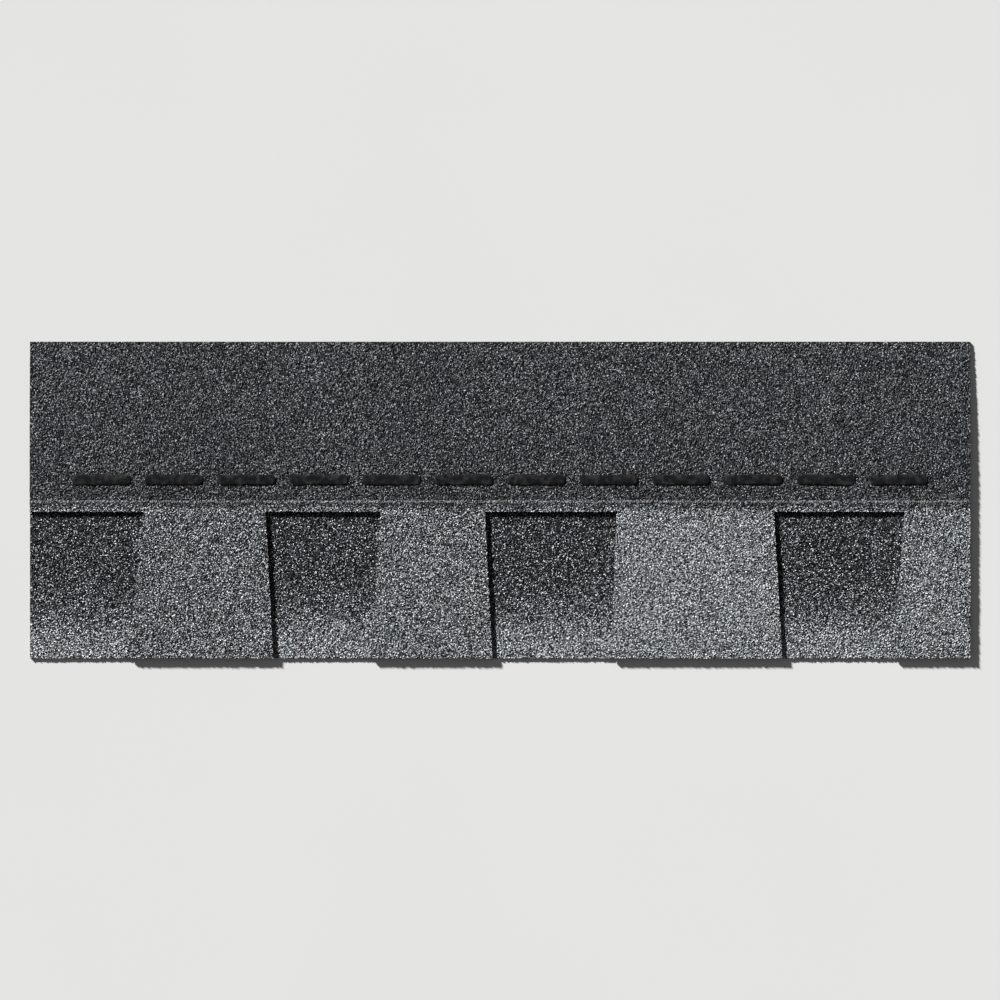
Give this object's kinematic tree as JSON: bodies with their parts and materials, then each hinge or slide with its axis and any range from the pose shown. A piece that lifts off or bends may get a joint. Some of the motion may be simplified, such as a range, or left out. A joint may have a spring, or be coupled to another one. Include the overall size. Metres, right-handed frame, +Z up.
{
  "type": "laminated asphalt shingle",
  "caption": "Two-ply asphalt roof shingle strip: a granule-surfaced top ply with dovetailed teeth laminated on a backer strip, with sealing dashes and release tape.",
  "frame": {"origin": "on the floor under the middle of the strip, half way along it and half way from butt edge to top edge", "axes": "+X along the strip to the right, as seen from above with the butt edge nearest; +Y up the slope, from the butt edge to the top edge; +Z up, out of the weather face"},
  "size_m": [1, 0.337, 0.0068],
  "materials": {
    "tooth_granules": "matte mixed grey and black mineral granules",
    "headlap_granules": "matte dark grey mineral granules",
    "backer_granules": "matte granules, near black at the top shading to grey at the butt edge",
    "coated_mat": "cut edge and sanded back of the filled asphalt sheet",
    "laminating_asphalt": "satin black asphalt",
    "sealing_asphalt": "satin black modified asphalt",
    "release_film": "clear glossy film"
  },
  "bodies": {
    "root": {"tooth_ply": "tooth_granules", "backer_strip": "backer_granules", "laminating_beads": "laminating_asphalt", "seal_dashes": "sealing_asphalt", "release_tape": "release_film"}
  },
  "joints": []
}
